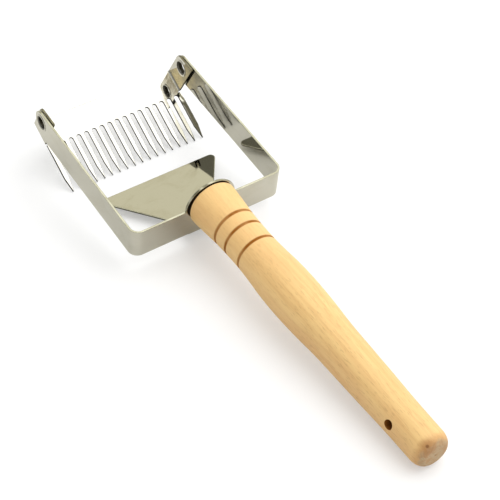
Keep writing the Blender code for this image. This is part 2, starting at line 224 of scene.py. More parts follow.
# ---------------------------------------------------------------- outlines

def arc(centre, radius, start, end, steps=ARC_STEPS):
    """Points along an arc, both ends included; angles in degrees, counter-clockwise positive."""
    points = []
    for step in range(steps + 1):
        angle = math.radians(start + (end - start) * step / steps)
        points.append((centre[0] + radius * math.cos(angle), centre[1] + radius * math.sin(angle)))
    return points


def circle(centre, radius, steps=TURN_STEPS):
    return arc(centre, radius, 0.0, 360.0, steps)[:-1]


def quadratic(start, control, end, steps):
    """Points along a quadratic curve, both ends included."""
    points = []
    for step in range(steps + 1):
        t = step / steps
        points.append(tuple((1 - t) ** 2 * a + 2 * t * (1 - t) * b + t ** 2 * c
                            for a, b, c in zip(start, control, end)))
    return points


def mirrored(right_half):
    return right_half + [(-x, y) for x, y in reversed(right_half)]


# ---------------------------------------------------------------- folded sheet

def cut_blank(loops, edge):
    """A flat sheet in the XY plane, its cut edges eased by edge and its flat layout kept as a UV map.

    Faces get material 0, and the cut edges material 1.
    """
    curve = bpy.data.curves.new("blank", "CURVE")
    curve.dimensions = "2D"
    curve.fill_mode = "BOTH"
    curve.extrude = (SHEET / 2 - edge) * MM
    curve.bevel_depth = edge * MM
    curve.bevel_resolution = 1
    curve.offset = -edge * MM
    for loop in loops:
        spline = curve.splines.new("POLY")
        spline.points.add(len(loop) - 1)
        for point, (x, y) in zip(spline.points, loop):
            point.co = (x * MM, y * MM, 0.0, 1.0)
        spline.use_cyclic_u = True
    holder = bpy.data.objects.new("blank", curve)
    bpy.context.scene.collection.objects.link(holder)
    bpy.context.view_layer.update()
    mesh = bpy.data.meshes.new_from_object(holder.evaluated_get(bpy.context.evaluated_depsgraph_get()))
    bpy.data.objects.remove(holder, do_unlink=True)
    sheet = bmesh.new()
    sheet.from_mesh(mesh)
    bpy.data.meshes.remove(mesh)
    bmesh.ops.remove_doubles(sheet, verts=sheet.verts, dist=MERGE_DISTANCE)
    bmesh.ops.recalc_face_normals(sheet, faces=sheet.faces)
    for layer in list(sheet.loops.layers.uv):
        sheet.loops.layers.uv.remove(layer)
    layout = sheet.loops.layers.uv.new("layout")
    for face in sheet.faces:
        face.smooth = True
        face.material_index = 1 if abs(face.normal.z) < FLAT_ENOUGH else 0
        for corner in face.loops:
            corner[layout].uv = corner.vert.co.xy * (UV_PER_MM / MM)
    return sheet


def slice_sheet(sheet, normal, distance):
    """Add a line of vertices right across the sheet, at a distance along a normal."""
    geometry = sheet.verts[:] + sheet.edges[:] + sheet.faces[:]
    bmesh.ops.bisect_plane(sheet, geom=geometry, dist=CUT_TOLERANCE, plane_co=normal * distance,
                           plane_no=normal)


def fold(sheet, along, side, start, radius, angle, applies=None):
    """Bend the sheet towards +z, beyond start on one side of it, about a radius at mid thickness.

    along is the axis that runs across the fold, and applies picks the vertices that the fold carries.
    """
    start, radius = start * MM, radius * MM
    length = radius * angle
    normal = Vector((0.0, 0.0, 0.0))
    normal[along] = side
    for step in range(ARC_STEPS + 1):
        slice_sheet(sheet, normal, start + length * step / ARC_STEPS)
    for vertex in sheet.verts:
        reach = vertex.co[along] * side - start
        if reach <= 0 or (applies and not applies(vertex.co)):
            continue
        turned = min(reach / radius, angle)
        straight = max(reach - length, 0.0)
        lever = radius - vertex.co.z
        vertex.co[along] = side * (start + lever * math.sin(turned) + straight * math.cos(turned))
        vertex.co.z = radius - lever * math.cos(turned) + straight * math.sin(turned)


def to_object(name, source):
    """Turn a bmesh into an object in the scene, and free it."""
    mesh = bpy.data.meshes.new(name)
    source.to_mesh(mesh)
    source.free()
    item = bpy.data.objects.new(name, mesh)
    bpy.context.scene.collection.objects.link(item)
    return item


def add_piece(name, source, materials, place, body, node):
    """Turn a bmesh into a shown piece that rides on a body and stands for a CAD node."""
    for edge in source.edges:
        if len(edge.link_faces) == 2 and edge.calc_face_angle() > SHARP_FOLD:
            edge.smooth = False
    source.transform(HEAD @ place)
    piece = to_object(name, source)
    for material in materials:
        piece.data.materials.append(material)
    even = piece.modifiers.new("even_normals", "WEIGHTED_NORMAL")
    even.mode = "FACE_AREA"
    even.keep_sharp = True
    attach(piece, body)
    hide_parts(node)


def at(x, y, z):
    """The move to a place given in millimetres."""
    return Matrix.Translation((x * MM, y * MM, z * MM))


def make_frame_strap(steel, rim):
    """One strap folded into a U: back wall with the half-round lug, and two arms with round noses."""
    bend_start = FRAME_WIDTH / 2 - SHEET / 2 - FRAME_BEND
    bend_length = FRAME_BEND * math.pi / 2
    arm_from_wall = bend_start + bend_length - FRAME_BEND - SHEET / 2
    pivot = arm_from_wall + PIVOT_Y
    nose = pivot + ARM_NOSE
    right_half = arc((0.0, STRAP_HEIGHT), LUG_RADIUS, 90.0, 0.0, LUG_STEPS)[1:]
    right_half += arc((nose - ARM_CORNER, STRAP_HEIGHT - ARM_CORNER), ARM_CORNER, 90.0, 0.0)
    right_half += arc((nose - ARM_CORNER, ARM_CORNER), ARM_CORNER, 0.0, -90.0)
    outline = [(0.0, STRAP_HEIGHT + LUG_RADIUS)] + mirrored(right_half)
    holes = [circle((0.0, HANDLE_Z), SCREW_CLEARANCE, HOLE_STEPS)]
    holes += [circle((side * pivot, PIVOT_Z), PIVOT_BORE) for side in (-1, 1)]
    sheet = cut_blank([outline] + holes, STRAP_EASING)
    for side in (-1, 1):
        fold(sheet, 0, side, bend_start, FRAME_BEND, math.pi / 2)
    stand = Matrix(((-1, 0, 0), (0, 0, 1), (0, 1, 0))).to_4x4()
    add_piece("frame_strap_polished", sheet, [steel, rim], at(0.0, SHEET / 2, 0.0) @ stand, "frame",
              "frame_strap")


def make_guide_plate(steel, rim, wall):
    """The apron below the frame, with its neck folded up as a tab inside the back wall."""
    tab_y = SHEET + TAB_GAP + SHEET / 2
    middle_y = GUIDE_FRONT_Y - math.sin(GUIDE_TILT) * SHEET / 2
    middle_z = GUIDE_FRONT_Z - math.cos(GUIDE_TILT) * SHEET / 2
    fold_angle = math.pi / 2 - GUIDE_TILT
    start_y = tab_y + GUIDE_BEND - GUIDE_BEND * math.sin(GUIDE_TILT)
    start_z = middle_z + (middle_y - start_y) * math.tan(GUIDE_TILT)
    length = (middle_y - start_y) / math.cos(GUIDE_TILT)
    tab_foot = start_z + GUIDE_BEND * math.cos(GUIDE_TILT)
    tab_middle = -(GUIDE_BEND * fold_angle + HANDLE_Z - tab_foot)
    cut_back = (GUIDE_HALF_WIDTH - GUIDE_NECK) / math.tan(GUIDE_CUT)
    corner_angle = 90.0 - math.degrees(GUIDE_CUT)
    corner_inset = GUIDE_CORNER / math.tan(math.radians(corner_angle) / 2)
    corner = (GUIDE_HALF_WIDTH - corner_inset, length - GUIDE_CORNER)
    right_half = arc(corner, GUIDE_CORNER, 90.0, -math.degrees(GUIDE_CUT))
    right_half += [(GUIDE_NECK, length - cut_back)]
    right_half += arc((0.0, tab_middle), GUIDE_NECK, 0.0, -90.0, 30)[:-1]
    hole = circle((0.0, tab_middle), SCREW_CLEARANCE, HOLE_STEPS)
    sheet = cut_blank([mirrored(right_half), hole], GUIDE_EASING)
    # Material 2: the upright middle of each cut edge, between its two eased rims, near black as painted
    # shade.
    for face in sheet.faces:
        if abs(face.normal.z) < UPRIGHT_ENOUGH:
            face.material_index = 2
    fold(sheet, 1, -1, 0.0, GUIDE_BEND, fold_angle)
    place = at(0.0, start_y, start_z) @ Matrix.Rotation(-GUIDE_TILT, 4, "X")
    add_piece("guide_plate_polished", sheet, [steel, rim, wall], place, "frame", "guide_plate")


def ear_top(back):
    """How far an ear reaches above the pivot, at a distance behind it, in the comb's own frame."""
    rise = STRAP_HEIGHT + EAR_TOP_ABOVE_RIM - PIVOT_Z
    return (rise + math.sin(COMB_TILT) * back) / math.cos(COMB_TILT)


def tine_edges(middle, half):
    """The point of a tine, from its right shoulder round to its left."""
    return [(middle + half, -TINE_SHOULDER), (middle + TIP_WIDTH / 2, -TINE_TIP),
            (middle - TIP_WIDTH / 2, -TINE_TIP), (middle - half, -TINE_SHOULDER)]


def slot_root(left, right, end=180.0, steps=16):
    """The round root of a slot, from its right side to its left."""
    radius = (right - left) / 2
    return arc(((left + right) / 2, -(SLOT_ROOT + radius)), radius, 0.0, end, steps)


def roll_end_tines(sheet):
    """Turn each outermost tine a little about its own length, more and more from its root."""
    for length in END_TINE_CUTS:
        slice_sheet(sheet, Vector((0.0, 1.0, 0.0)), -length * MM)
    for vertex in sheet.verts:
        side = 1 if vertex.co.x > 0 else -1
        across = abs(vertex.co.x) - END_TINE_MIDDLE * MM
        beyond = -vertex.co.y - (SLOT_ROOT + 1.0) * MM
        if across < -END_TINE_WIDTH * 0.6 * MM or beyond <= 0:
            continue
        angle = END_TINE_ROLL * min(beyond / (END_TINE_ROLL_LENGTH * MM), 1.0)
        height = vertex.co.z
        vertex.co.x = side * (END_TINE_MIDDLE * MM + across * math.cos(angle) - height * math.sin(angle))
        vertex.co.z = height * math.cos(angle) + across * math.sin(angle)


def make_tine_comb(steel, wall, ear_edge):
    """The plate with its tines, and an ear folded up at each end for the rivets."""
    plate_z = -(COMB_DROP + SHEET / 2)
    bend_start = EAR_MID - COMB_BEND
    bend_length = COMB_BEND * math.pi / 2
    to_blank = bend_start + bend_length - COMB_BEND - plate_z
    front_corner = (to_blank + EAR_NOSE_RISE, COMB_FRONT)
    nose_control = (front_corner[0] + EAR_NOSE_BULGE, COMB_FRONT)
    nose_top = (to_blank + ear_top(-EAR_NOSE_BACK), EAR_NOSE_BACK)
    right_half = quadratic(front_corner, nose_control, nose_top, 16)
    right_half += [(to_blank + ear_top(EAR_BACK - EAR_CHAMFER), EAR_CHAMFER - EAR_BACK),
                   (to_blank + ear_top(EAR_BACK) - EAR_CHAMFER, -EAR_BACK)]
    relief_x = bend_start - RELIEF_INSET
    right_half += [(relief_x, -EAR_BACK), (relief_x, -EAR_BACK - RELIEF)]
    right_half += [(END_TINE_MIDDLE + END_TINE_WIDTH / 2, -EAR_BACK - RELIEF)]
    tines = [(END_TINE_MIDDLE, END_TINE_WIDTH / 2)]
    tines += [(TINE_PITCH * (number + 0.5), TINE_WIDTH / 2) for number in reversed(range(TINES // 2 - 1))]
    for (middle, half), (next_middle, next_half) in zip(tines, tines[1:]):
        right_half += tine_edges(middle, half) + slot_root(next_middle + next_half, middle - half)
    half_slot = (TINE_PITCH - TINE_WIDTH) / 2
    right_half += tine_edges(*tines[-1]) + slot_root(-half_slot, half_slot, 90.0, 8)
    outline = mirrored(right_half)
    outline.pop(len(right_half))
    holes = [circle((side * to_blank, 0.0), PIVOT_BORE) for side in (-1, 1)]
    sheet = cut_blank([outline] + holes, COMB_EASING)
    # Material 2: edges that face forward, and the ears' upper edges but those that face straight back.
    # The other cut edges keep material 1, near black: painted shade on the tine walls and the ears' back
    # edges.
    for face in sheet.faces:
        on_ear = abs(face.calc_center_median().x) > (to_blank - COMB_DROP * 0.5) * MM
        if face.material_index == 1 and (face.normal.y > 0.3 or on_ear and face.normal.y > -0.95):
            face.material_index = 2
    roll_end_tines(sheet)
    for side in (-1, 1):
        fold(sheet, 0, side, bend_start, COMB_BEND, math.pi / 2,
             lambda place: place.y > -(EAR_BACK + RELIEF / 2) * MM)
    place = at(0.0, PIVOT_Y, PIVOT_Z) @ Matrix.Rotation(COMB_TILT, 4, "X") @ at(0.0, 0.0, plate_z)
    add_piece("tine_comb_polished", sheet, [steel, wall, ear_edge], place, "comb", "tine_comb")


# ---------------------------------------------------------------- turned pieces

def lathe(profile, closed, steps=TURN_STEPS):
    """Turn a profile of (radius, height) about Z; points on the axis become poles.

    A closed profile is a ring's section: its last point is joined to its first.
    """
    turned = bmesh.new()
    layout = turned.loops.layers.uv.new("layout")
    rings, travelled = [], [0.0]
    for (r0, h0), (r1, h1) in zip(profile, profile[1:] + profile[:1]):
        travelled.append(travelled[-1] + math.hypot(r1 - r0, h1 - h0))
    for radius, height in profile:
        if radius == 0.0:
            rings.append([turned.verts.new((0.0, 0.0, height * MM))] * steps)
            continue
        ring = []
        for step in range(steps):
            angle = 2 * math.pi * step / steps
            ring.append(turned.verts.new((radius * MM * math.cos(angle), radius * MM * math.sin(angle),
                                          height * MM)))
        rings.append(ring)
    pairs = list(zip(rings, rings[1:]))
    if closed:
        pairs.append((rings[-1], rings[0]))
    for index, (low, high) in enumerate(pairs):
        for step in range(steps):
            after = (step + 1) % steps
            corners = {}
            for vertex, u, v in ((low[step], step, index), (low[after], step + 1, index),
                                 (high[after], step + 1, index + 1), (high[step], step, index + 1)):
                corners.setdefault(vertex, (u / steps, travelled[v] * UV_PER_MM))
            if len(corners) > 2:
                face = turned.faces.new(list(corners))
                face.smooth = True
                for corner in face.loops:
                    corner[layout].uv = corners[corner.vert]
    bmesh.ops.recalc_face_normals(turned, faces=turned.faces)
    return turned


def turned_ring(profile, easing):
    """Turn a closed profile, with each of its corners rounded by a short curve."""
    rounded = []
    for index, point in enumerate(profile):
        here = Vector(point)
        before, after = Vector(profile[index - 1]), Vector(profile[(index + 1) % len(profile)])
        reach = min(easing, (before - here).length * 0.45, (after - here).length * 0.45)
        start = here + (before - here).normalized() * reach
        end = here + (after - here).normalized() * reach
        rounded += quadratic(start, here, end, EASING_STEPS)
    return lathe(rounded, True)


def washer_profile(outside, hole, thickness):
    half = thickness / 2
    return [(outside, half), (outside, -half), (hole, -half), (hole, half)]


def make_hinge_parts(rivet_steel, washer_steel):
    """On each side a hollow rivet through arm and ear, and a thin washer in the gap between them."""
    outer = SHEET / 2 + CLEARANCE
    inner = -(FRAME_MID - EAR_MID + SHEET / 2 + CLEARANCE)
    outer_face = outer + RIVET_FLANGE_THICKNESS
    inner_face = inner - RIVET_FLANGE_THICKNESS
    rivet = [(RIVET_FLANGE, outer_face), (RIVET_FLANGE, outer), (RIVET_SHANK, outer), (RIVET_SHANK, inner),
             (RIVET_FLANGE, inner), (RIVET_FLANGE, inner_face), (RIVET_MOUTH, inner_face),
             (RIVET_HOLE, inner + RIVET_ROLL), (RIVET_HOLE, outer - RIVET_ROLL), (RIVET_MOUTH, outer_face)]
    washer = washer_profile(WASHER_RADIUS, PIVOT_BORE, WASHER_THICKNESS)
    for name, side in (("left", -1), ("right", 1)):
        turn = Matrix.Rotation(side * math.pi / 2, 4, "Y")
        place = at(side * FRAME_MID, PIVOT_Y, PIVOT_Z) @ turn
        add_piece("pivot_rivet_rolled_" + name, turned_ring(rivet, RIVET_EASING), rivet_steel, place,
                  "frame", "pivot_rivet_" + name)
        place = at(side * (FRAME_MID - SHEET / 2 - PLAY / 2), PIVOT_Y, PIVOT_Z) @ turn
        add_piece("pivot_washer_thin_" + name, turned_ring(washer, WASHER_EASING), washer_steel, place,
                  "frame", "pivot_washer_" + name)


def cut_away(solid, tool, crossing=False):
    """The solid less the tool, as a new bmesh; crossing says that the tool's own parts overlap."""
    holder, cutter = to_object("solid", solid), to_object("tool", tool)
    boolean = holder.modifiers.new("cut", "BOOLEAN")
    boolean.operation = "DIFFERENCE"
    boolean.solver = "EXACT"
    boolean.use_self = crossing
    boolean.object = cutter
    bpy.context.view_layer.update()
    result = bmesh.new()
    result.from_object(holder, bpy.context.evaluated_depsgraph_get())
    for item in (holder, cutter):
        bpy.data.objects.remove(item, do_unlink=True)
    return result


# ---------------------------------------------------------------- handle and screw

def on_handle_axis(forward):
    """The handle's own frame, Z running back along it, with its origin forward of the wall's outside."""
    place = at(0.0, forward * math.cos(HANDLE_TILT), HANDLE_Z - forward * math.sin(HANDLE_TILT))
    return place @ Matrix.Rotation(math.pi / 2 - HANDLE_TILT, 4, "X")


def handle_radius(place):
    """Radius of the wood at a place along it: a smooth curve through HANDLE_RADII."""
    points = HANDLE_RADII
    place = min(max(place, points[0][0]), points[-1][0])
    index = next(i for i in range(len(points) - 1) if place <= points[i + 1][0])

    def slope(i):
        low, high = max(i - 1, 0), min(i + 1, len(points) - 1)
        return (points[high][1] - points[low][1]) / (points[high][0] - points[low][0])

    (x0, r0), (x1, r1) = points[index], points[index + 1]
    width = x1 - x0
    t = (place - x0) / width
    rise = (2 * t ** 3 - 3 * t ** 2 + 1) * r0 + (3 * t ** 2 - 2 * t ** 3) * r1
    return rise + width * ((t ** 3 - 2 * t ** 2 + t) * slope(index) + (t ** 3 - t ** 2) * slope(index + 1))


def groove_depth(place):
    """How deep the wood is cut away at a place along it: three round-bottomed grooves."""
    nearest = min(abs(place - groove) for groove in GROOVES)
    if nearest >= GROOVE_HALF_WIDTH:
        return 0.0
    return GROOVE_DEPTH * (1.0 - (nearest / GROOVE_HALF_WIDTH) ** 2) ** 0.7


def handle_profile():
    """The turned outline: from the centre mark in the end face, down the side, and up the pilot bore."""
    round_start = HANDLE_LENGTH - HANDLE_END_ROUND
    shoulder = (handle_radius(round_start) - HANDLE_END_FACE) / HANDLE_END_ROUND
    profile = [(radius, HANDLE_LENGTH - depth) for radius, depth in CENTRE_MARK]
    profile += [(HANDLE_END_FACE + rise * shoulder, round_start + along)
                for rise, along in arc((0.0, 0.0), HANDLE_END_ROUND, 90.0, 0.0, 20)]
    places = [round_start - SIDE_SPACING * step for step in range(1, int(round_start / SIDE_SPACING))]
    for groove in GROOVES:
        places = [p for p in places if abs(p - groove) > GROOVE_HALF_WIDTH + GROOVE_MARGIN]
        places += [groove + GROOVE_HALF_WIDTH * step / 6 for step in range(-6, 7)]
        places += [groove - GROOVE_HALF_WIDTH - GROOVE_LIP, groove + GROOVE_HALF_WIDTH + GROOVE_LIP]
    for place in sorted(places, reverse=True):
        profile.append((handle_radius(place) - groove_depth(place), place))
    profile += [(handle_radius(0.0) - inset, place) for inset, place in FRONT_EDGE]
    profile += [(PILOT_RADIUS, 0.0), (PILOT_RADIUS, PILOT_DEPTH), (0.0, PILOT_DEPTH + PILOT_POINT)]
    return profile


def drill_hang_hole(wood):
    """Drill through the wood and ease both mouths of the hole."""
    drill = bmesh.new()
    bmesh.ops.create_cone(drill, cap_ends=True, segments=64, radius1=HANG_HOLE_RADIUS * MM,
                          radius2=HANG_HOLE_RADIUS * MM, depth=DRILL_LENGTH * MM)
    direction = Matrix.Rotation(-HANG_HOLE_TURN, 4, "Z") @ Matrix.Rotation(math.pi / 2, 4, "Y")
    bmesh.ops.transform(drill, matrix=at(0.0, 0.0, HANG_HOLE_AT) @ direction, verts=drill.verts)
    drilled = cut_away(wood, drill)
    line = (direction @ Vector((0.0, 0.0, 1.0))).normalized()
    mouths = []
    for edge in drilled.edges:
        middle = (edge.verts[0].co + edge.verts[1].co) / 2 - Vector((0.0, 0.0, HANG_HOLE_AT * MM))
        away = (middle - line * middle.dot(line)).length
        if away < (HANG_HOLE_RADIUS + 0.1) * MM and len(edge.link_faces) == 2:
            if edge.calc_face_angle() > SHARP_MOUTH:
                mouths.append(edge)
    bmesh.ops.bevel(drilled, geom=mouths, offset=HANG_HOLE_EASING * MM, segments=3, profile=0.5,
                    affect="EDGES", clamp_overlap=True)
    for face in drilled.faces:
        face.smooth = True
    return drilled


def make_handle(materials):
    wood = drill_hang_hole(lathe(handle_profile(), False, HANDLE_STEPS))
    add_piece("wooden_handle_turned", wood, materials, on_handle_axis(-HANDLE_START), "frame",
              "wooden_handle")


def make_screw_washer(materials):
    ring = washer_profile(LOCK_WASHER_RADIUS, LOCK_WASHER_HOLE, LOCK_WASHER_THICKNESS)
    place = on_handle_axis(SCREW_STANDOFF + LOCK_WASHER_THICKNESS / 2)
    add_piece("screw_washer_pressed", turned_ring(ring, LOCK_WASHER_EASING), materials, place, "frame",
              "screw_washer")


def screw_blank():
    """The screw before its thread and recess: point, core, shank and domed head, with the head below."""
    rise = SCREW_HEAD_HEIGHT - SCREW_HEAD_EDGE
    profile = [(0.0, SCREW_LENGTH), (SCREW_TIP_RADIUS, SCREW_LENGTH - SCREW_TIP_LENGTH),
               (SCREW_CORE, SCREW_LENGTH - SCREW_POINT), (SCREW_CORE, THREAD_START),
               (SCREW_RADIUS - 0.1, THREAD_START - 0.6), (SCREW_RADIUS, 0.0), (SCREW_HEAD_RADIUS, 0.0)]
    profile += [(radius, -SCREW_HEAD_EDGE - height * rise / SCREW_HEAD_RADIUS)
                for radius, height in arc((0.0, 0.0), SCREW_HEAD_RADIUS, 0.0, 90.0, 12)[:-1]]
    profile += [(0.0, -SCREW_HEAD_HEIGHT)]
    return lathe(profile, False, SCREW_STEPS)


def cross_driver():
    """The shape of the cross recess: two crossing blades, narrower towards their tip."""
    driver = bmesh.new()
    for width, length in ((RECESS_WIDTH, RECESS_LENGTH), (RECESS_LENGTH, RECESS_WIDTH)):
        for vertex in bmesh.ops.create_cube(driver, size=1.0)["verts"]:
            narrow = RECESS_NARROWING if vertex.co.z > 0 else 1.0
            vertex.co.x *= narrow * width * MM
            vertex.co.y *= narrow * length * MM
            vertex.co.z = (vertex.co.z * 2 * RECESS_DEPTH - SCREW_HEAD_HEIGHT) * MM
    return driver


def add_thread(screw):
    """A helical ridge round the screw's core, tapering out under the head and at the point."""
    end = SCREW_LENGTH - THREAD_SHORT_OF_TIP
    turns = (end - THREAD_START) / SCREW_THREAD_PITCH
    steps = int(turns * THREAD_STEPS_PER_TURN)
    previous = None
    for step in range(steps + 1):
        t = step / steps
        angle, height = 2 * math.pi * turns * t, THREAD_START + (end - THREAD_START) * t
        core = SCREW_CORE * min(1.0, (SCREW_LENGTH - height) / SCREW_POINT + 0.1)
        crest = core + (SCREW_RADIUS - SCREW_CORE - 0.02) * min(1.0, t * 12, (1 - t) * 6 + 0.1)
        foot = core - THREAD_FOOT
        around = Vector((math.cos(angle), math.sin(angle), 0.0))
        section = [screw.verts.new((around * radius + Vector((0.0, 0.0, height + shift))) * MM)
                   for radius, shift in ((foot, -THREAD_HALF_WIDTH), (crest, 0.0), (foot, THREAD_HALF_WIDTH))]
        if previous:
            for first, second in ((0, 1), (1, 2), (2, 0)):
                screw.faces.new((previous[first], previous[second], section[second], section[first]))
        else:
            screw.faces.new(section)
        previous = section
    screw.faces.new(reversed(previous))


def make_handle_screw(materials):
    screw = cut_away(screw_blank(), cross_driver(), crossing=True)
    add_thread(screw)
    for face in screw.faces:
        face.smooth = True
    place = on_handle_axis(SCREW_STANDOFF + LOCK_WASHER_THICKNESS + CLEARANCE)
    add_piece("handle_screw_threaded", screw, materials, place, "frame", "handle_screw")


# ---------------------------------------------------------------- materials

class Nodes:
    """A short way to write a node tree: each call adds one node and gives one of its outputs."""

    def __init__(self, tree):
        self.tree = tree

    def set(self, socket, value):
        if isinstance(value, bpy.types.NodeSocket):
            self.tree.links.new(value, socket)
        elif isinstance(value, (tuple, list)) and len(value) == 3 and len(socket.default_value) == 4:
            socket.default_value = (*value, 1.0)
        else:
            socket.default_value = value

    def add(self, kind, inputs, output=0, **settings):
        node = self.tree.nodes.new("ShaderNode" + kind)
        for key, value in settings.items():
            setattr(node, key, value)
        for key, value in inputs.items():
            self.set(node.inputs[key], value)
        return node.outputs[output]

    def math(self, operation, first, second=0.0, third=0.0):
        return self.add("Math", {0: first, 1: second, 2: third}, operation=operation)

    def split(self, vector):
        """The three parts of a vector."""
        separate = self.tree.nodes.new("ShaderNodeSeparateXYZ")
        self.set(separate.inputs[0], vector)
        return separate.outputs

    def away(self, vector, point):
        """The vector measured from a point."""
        return self.add("VectorMath", {0: vector, 1: point}, operation="SUBTRACT")

    def length(self, vector):
        return self.add("VectorMath", {0: vector}, output="Value", operation="LENGTH")

    def noise(self, vector, scale, detail=2.0, roughness=0.5, distortion=0.0):
        return self.add("TexNoise", {"Vector": vector, "Scale": scale, "Detail": detail,
                                     "Roughness": roughness, "Distortion": distortion})

    def stretched(self, vector, scale, rotation=(0.0, 0.0, 0.0)):
        return self.add("Mapping", {"Vector": vector, "Scale": scale, "Rotation": rotation})

    def ramp(self, value, low, high, low_to=0.0, high_to=1.0):
        """A smooth step from low_to to high_to while the value goes from low to high."""
        return self.add("MapRange", {"Value": value, "From Min": low, "From Max": high, "To Min": low_to,
                                     "To Max": high_to}, interpolation_type="SMOOTHSTEP")

    def mix(self, factor, first, second):
        return self.add("Mix", {0: factor, 6: first, 7: second}, output=2, data_type="RGBA")

    def tint(self, colour, mask, strength, other):
        """The colour, moved by a share of the mask towards another colour."""
        return self.mix(self.math("MULTIPLY", mask, strength), colour, other)


class MaterialNodes(Nodes):
    """The nodes of one new material, ending in its principled shader."""

    def __init__(self, name):
        self.material = bpy.data.materials.new(name)
        self.material.use_nodes = True
        super().__init__(self.material.node_tree)

    def place(self):
        return self.add("TexCoord", {}, output="Object")

    def layout(self):
        """The place on the flat sheet, or round and along a turned piece."""
        return self.add("UVMap", {}, uv_map="layout")

    def bump(self, height, distance, normal=None):
        inputs = {"Height": height, "Distance": distance}
        if normal:
            inputs["Normal"] = normal
        return self.add("Bump", inputs)

    def finish(self, **inputs):
        shader = self.tree.nodes["Principled BSDF"]
        for key, value in inputs.items():
            self.set(shader.inputs[key.replace("_", " ")], value)
        return self.material


def make_polished_steel():
    """Mirror-polished sheet: faint buffing lines along the sheet, slow waves, wiped smudges."""
    nodes = MaterialNodes("polished_steel_sheet")
    layout = nodes.layout()
    lines = nodes.noise(nodes.stretched(layout, (3.0, 260.0, 1.0)), 1.0, 3.0, 0.65)
    waves = nodes.noise(nodes.stretched(layout, (3.2, 4.4, 1.0)), 1.0, 2.0)
    smudges = nodes.noise(nodes.stretched(layout, (5.0, 8.0, 1.0), (0.0, 0.0, 0.5)), 1.0, 5.0, 0.6, 0.8)
    specks = nodes.noise(layout, 60.0, 2.0, 0.6)
    wiped = nodes.ramp(smudges, 0.47, 0.68)
    spots = nodes.ramp(specks, 0.66, 0.76)
    roughness = nodes.math("MULTIPLY_ADD", lines, 0.03, 0.025)
    roughness = nodes.math("MULTIPLY_ADD", wiped, 0.05, roughness)
    roughness = nodes.math("MULTIPLY_ADD", spots, 0.06, roughness)
    colour = nodes.mix(wiped, STEEL, (0.60, 0.585, 0.535))
    colour = nodes.tint(colour, spots, 0.25, (0.47, 0.45, 0.40))
    normal = nodes.bump(waves, 0.00004)
    normal = nodes.bump(lines, 0.0000003, normal)
    return nodes.finish(Base_Color=colour, Metallic=1.0, Roughness=roughness, Normal=normal)


def make_cut_edge(name, clean, dull, smoothest):
    """The cut edges of the sheet: satin, with fine upright lines and duller stains."""
    nodes = MaterialNodes(name)
    place = nodes.place()
    lines = nodes.noise(nodes.stretched(place, (2600.0, 2600.0, 500.0)), 1.0, 2.0, 0.6)
    stains = nodes.noise(place, 90.0, 3.0)
    colour = nodes.mix(nodes.ramp(stains, 0.4, 0.7), clean, dull)
    roughness = nodes.math("MULTIPLY_ADD", lines, 0.2, smoothest)
    return nodes.finish(Base_Color=colour, Metallic=1.0, Roughness=roughness,
                        Normal=nodes.bump(lines, 0.00001))


def make_fastener_steel():
    """Bright turned and pressed steel, with fine rings from the tool and dull stains."""
    nodes = MaterialNodes("fastener_steel_turned")
    rings = nodes.noise(nodes.stretched(nodes.layout(), (2.0, 520.0, 1.0)), 1.0, 2.0, 0.6)
    stains = nodes.noise(nodes.place(), 420.0, 4.0, 0.6)
    grime = nodes.ramp(stains, 0.5, 0.72)
    colour = nodes.mix(grime, (0.60, 0.595, 0.56), (0.40, 0.385, 0.33))
    roughness = nodes.math("MULTIPLY_ADD", rings, 0.12, 0.12)
    roughness = nodes.math("MULTIPLY_ADD", grime, 0.15, roughness)
    return nodes.finish(Base_Color=colour, Metallic=1.0, Roughness=roughness,
                        Normal=nodes.bump(rings, 0.000012))


def make_rivet_steel():
    """The steel of the sheet with dull stains, and painted shade in the bore of each hollow rivet, darker
    towards its right.
    """
    nodes = MaterialNodes("rivet_steel_rolled")
    place = nodes.place()
    pivot = HEAD @ Vector((0.0, PIVOT_Y * MM, PIVOT_Z * MM))
    from_pivot = nodes.add("Mapping", {"Vector": place, "Location": -pivot})
    off_axis = nodes.length(nodes.stretched(from_pivot, (0.0, 1.0, 1.0)))
    grime = nodes.noise(place, 500.0, 4.0, 0.6)
    edge = nodes.math("MULTIPLY_ADD", grime, 0.0003, off_axis)
    bore_shade = nodes.ramp(edge, (RIVET_MOUTH + 0.4) * MM, (RIVET_MOUTH + 0.1) * MM)
    across = nodes.split(place)[0]
    beyond_middle = nodes.math("SUBTRACT", nodes.math("ABSOLUTE", across), (FRAME_MID + EAR_MID) / 2 * MM)
    rightwards = nodes.math("MULTIPLY", nodes.math("SIGN", across), beyond_middle)
    bore_shade = nodes.math("MULTIPLY", bore_shade, nodes.ramp(rightwards, -1.5 * MM, -0.3 * MM, 0.7, 1.0))
    colour = nodes.mix(nodes.ramp(grime, 0.5, 0.7), STEEL, (0.52, 0.50, 0.44))
    # Painted shade: the bore near black.
    colour = nodes.mix(bore_shade, colour, (0.022, 0.02, 0.013))
    roughness = nodes.math("MULTIPLY_ADD", bore_shade, 0.25, 0.12)
    return nodes.finish(Base_Color=colour, Metallic=1.0, Roughness=roughness,
                        Normal=nodes.bump(grime, 0.00001))


